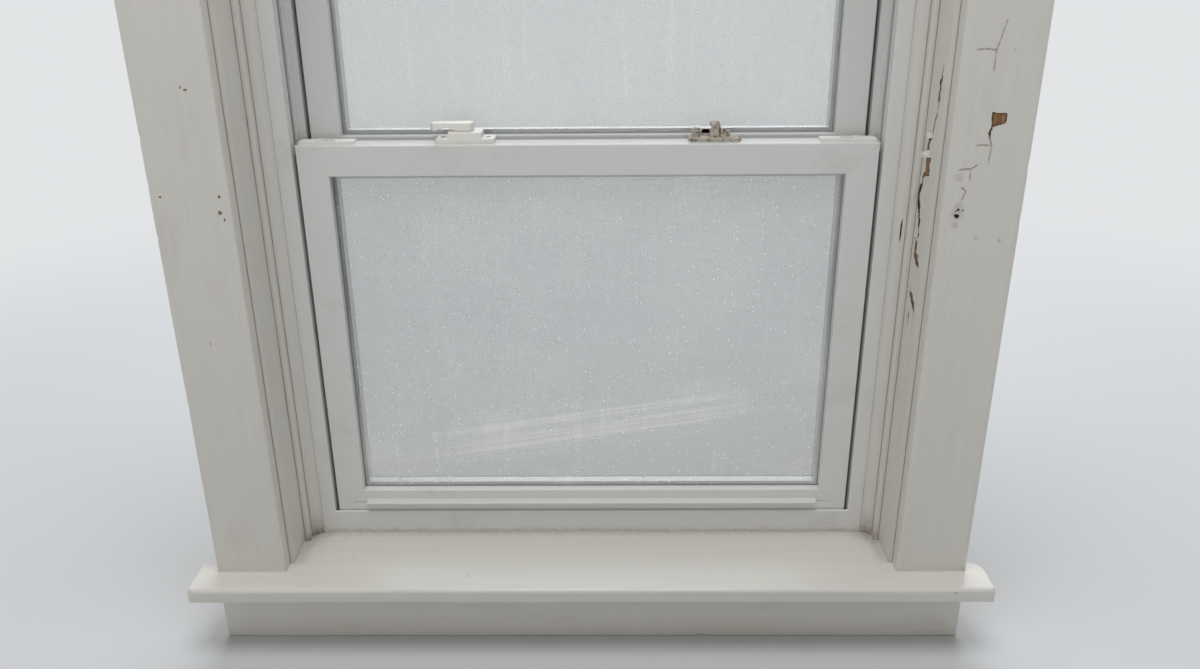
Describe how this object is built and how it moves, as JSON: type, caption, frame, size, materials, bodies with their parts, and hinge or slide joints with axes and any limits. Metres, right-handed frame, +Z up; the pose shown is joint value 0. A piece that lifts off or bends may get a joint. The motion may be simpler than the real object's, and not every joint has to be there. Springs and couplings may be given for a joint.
{
  "type": "sash window",
  "caption": "Vertically sliding tilt-in window with two glazed sashes in a vinyl frame, set in an old painted wood opening with stool, apron and casings.",
  "frame": {"origin": "middle of the apron's back, at its lower edge, on the wall face", "axes": "+X to the right seen from the room, +Y outdoors through the wall, +Z up"},
  "size_m": [0.994, 0.2825, 1.2315],
  "materials": {
    "painted_wood": "old satin paint, worn and torn in places",
    "painted_wood_outdoor": "weathered paint",
    "raw_wood": "sawn softwood",
    "white_vinyl": "satin extruded vinyl, slightly dirty",
    "latch_plastic": "satin moulded plastic",
    "balance_plastic": "moulded plastic",
    "clear_glass": "clear, dusty",
    "spacer_metal": "matt mill finish",
    "seal_rubber": "matt",
    "spline_rubber": "matt",
    "screen_aluminium": "white coated aluminium",
    "screen_mesh": "fine woven screen cloth",
    "steel": "zinc plated",
    "lock_paint": "worn off-white enamel",
    "lock_metal": "die-cast zinc",
    "worn_lock_metal": "corroded zinc with remains of enamel"
  },
  "bodies": {
    "frame": {"apron": "painted_wood", "blind_stop_head": "painted_wood_outdoor", "blind_stop_left": "painted_wood_outdoor", "blind_stop_right": "painted_wood_outdoor", "casing_head": "painted_wood", "casing_left": "painted_wood", "casing_right": "painted_wood", "cove_head": "painted_wood", "cove_left": "painted_wood", "cove_right": "painted_wood", "jamb_head": "painted_wood", "jamb_left": "painted_wood", "jamb_right": "painted_wood", "stool": "painted_wood", "stop_head": "painted_wood", "stop_left": "painted_wood", "stop_right": "painted_wood", "wood_sill": "painted_wood_outdoor", "lower_coils": "steel", "lower_coil_carriers": "balance_plastic", "lower_ribbons": "steel", "upper_coils": "steel", "upper_coil_carriers": "balance_plastic", "upper_ribbons": "steel", "master_frame": "white_vinyl", "shims": "raw_wood", "frame_screws": "steel", "screen_frame": "screen_aluminium", "screen_mesh": "screen_mesh", "screen_spline": "spline_rubber"},
    "lower_sash": {"lower_sash_frame": "white_vinyl", "lower_inner_pane": "clear_glass", "lower_outer_pane": "clear_glass", "lower_spacer": "spacer_metal", "lower_beads": "white_vinyl", "lower_seal": "seal_rubber", "lower_pivot_pins": "steel", "lower_shoes": "balance_plastic", "lower_latch_left": "latch_plastic", "lower_latch_right": "latch_plastic", "lock_housing_left": "lock_paint", "lock_base_right": "worn_lock_metal", "lock_hub_right": "worn_lock_metal", "lock_screws": "steel"},
    "upper_sash": {"upper_sash_frame": "white_vinyl", "upper_inner_pane": "clear_glass", "upper_outer_pane": "clear_glass", "upper_spacer": "spacer_metal", "upper_beads": "white_vinyl", "upper_pivot_pins": "steel", "upper_shoes": "balance_plastic", "upper_latch_left": "latch_plastic", "upper_latch_right": "latch_plastic", "lock_keepers": "lock_paint"},
    "lock_lever": {"lock_cam_left": "lock_metal", "lock_lever_left": "lock_paint"},
    "lower_bolt_left": {"lower_bolt_left": "latch_plastic"},
    "lower_bolt_right": {"lower_bolt_right": "latch_plastic"},
    "upper_bolt_left": {"upper_bolt_left": "latch_plastic"},
    "upper_bolt_right": {"upper_bolt_right": "latch_plastic"}
  },
  "joints": [
    {"name": "lower_slide", "type": "slide", "parent": "frame", "child": "lower_sash", "axis": [0, 0, 1], "range_m": [0, 0.415], "deforming": ["lower_ribbons"]},
    {"name": "upper_slide", "type": "slide", "parent": "frame", "child": "upper_sash", "axis": [0, 0, 1], "range_m": [-0.415, 0], "deforming": ["upper_ribbons"]},
    {"name": "lock_turn", "type": "hinge", "parent": "lower_sash", "child": "lock_lever", "pos_m": [-0.1425, 0.1045, 0.631], "axis": [0, 0, 1], "range_deg": [0, 180]},
    {"name": "lower_bolt_left_slide", "type": "slide", "parent": "lower_sash", "child": "lower_bolt_left", "axis": [1, 0, 0], "range_m": [0, 0.013], "stiffness_N_per_m": 200, "springref_m": -0.005},
    {"name": "lower_bolt_right_slide", "type": "slide", "parent": "lower_sash", "child": "lower_bolt_right", "axis": [-1, 0, 0], "range_m": [0, 0.013], "stiffness_N_per_m": 200, "springref_m": -0.005},
    {"name": "upper_bolt_left_slide", "type": "slide", "parent": "upper_sash", "child": "upper_bolt_left", "axis": [1, 0, 0], "range_m": [0, 0.013], "stiffness_N_per_m": 200, "springref_m": -0.005},
    {"name": "upper_bolt_right_slide", "type": "slide", "parent": "upper_sash", "child": "upper_bolt_right", "axis": [-1, 0, 0], "range_m": [0, 0.013], "stiffness_N_per_m": 200, "springref_m": -0.005}
  ]
}
